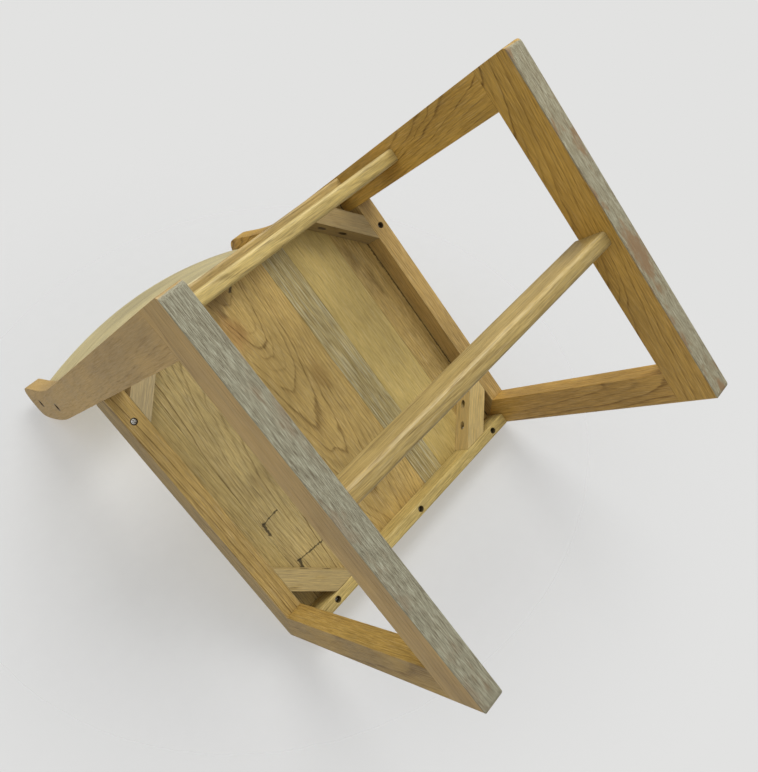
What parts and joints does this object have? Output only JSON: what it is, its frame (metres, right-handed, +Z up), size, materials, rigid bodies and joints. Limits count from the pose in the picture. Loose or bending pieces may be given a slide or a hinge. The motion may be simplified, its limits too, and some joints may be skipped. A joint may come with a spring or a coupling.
{
  "type": "side chair",
  "caption": "Wooden side chair on floor runners, with open side frames, a boarded seat on corner-blocked rails and a curved, leaning backrest between flared rear posts.",
  "frame": {"origin": "on the floor, midway between the side frames and midway between the front of the runners and the furthest point of the backrest", "axes": "+Z up; the sitter faces -Y; +X points to the sitter's left"},
  "size_m": [0.508, 0.5238, 0.864],
  "materials": {
    "frame": "oak, clear satin varnish, mid brown",
    "runner": "oak, varnish worn off below and grey",
    "seat": "oak boards of mixed shade, clear satin varnish",
    "rail": "oak, clear satin varnish, light yellow brown",
    "back": "oak, clear satin varnish, pale",
    "tenon": "bare wood, glued",
    "steel": "plain steel wood screw"
  },
  "bodies": {
    "root": {"backrest": "back", "corner_block_front_left": "seat", "corner_block_front_right": "seat", "corner_block_rear_left": "seat", "corner_block_rear_right": "seat", "front_leg_left": "frame", "front_leg_right": "frame", "front_rail": "rail", "rear_post_left": "frame", "rear_post_right": "frame", "rear_rail": "rail", "rear_stretcher": "rail", "runner_left": "runner", "runner_right": "runner", "runner_stretcher": "rail", "screw_back_left_lower": "steel", "screw_back_left_upper": "steel", "screw_back_right_lower": "steel", "screw_back_right_upper": "steel", "screw_block_front_left_cross": "steel", "screw_block_front_left_side": "steel", "screw_block_front_right_cross": "steel", "screw_block_front_right_side": "steel", "screw_block_rear_left_cross": "steel", "screw_block_rear_left_side": "steel", "screw_block_rear_right_cross": "steel", "screw_block_rear_right_side": "steel", "screw_front_rail_left": "steel", "screw_front_rail_middle": "steel", "screw_front_rail_right": "steel", "screw_side_rail_left": "steel", "screw_side_rail_right": "steel", "seat_board_1": "seat", "seat_board_2": "seat", "seat_board_3": "seat", "seat_board_4": "seat", "seat_board_5": "seat", "seat_board_6": "seat", "side_rail_left": "frame", "side_rail_right": "frame", "tenon_front_leg_left": "tenon", "tenon_front_leg_right": "tenon", "tenon_front_rail_left": "tenon", "tenon_front_rail_right": "tenon", "tenon_miter_left": "tenon", "tenon_miter_right": "tenon", "tenon_rail_rear_left": "tenon", "tenon_rail_rear_right": "tenon", "tenon_rear_post_left": "tenon", "tenon_rear_post_right": "tenon", "tenon_rear_rail_left": "tenon", "tenon_rear_rail_right": "tenon", "tenon_rear_stretcher_left": "tenon", "tenon_rear_stretcher_right": "tenon", "tenon_runner_stretcher_left": "tenon", "tenon_runner_stretcher_right": "tenon"}
  },
  "joints": []
}
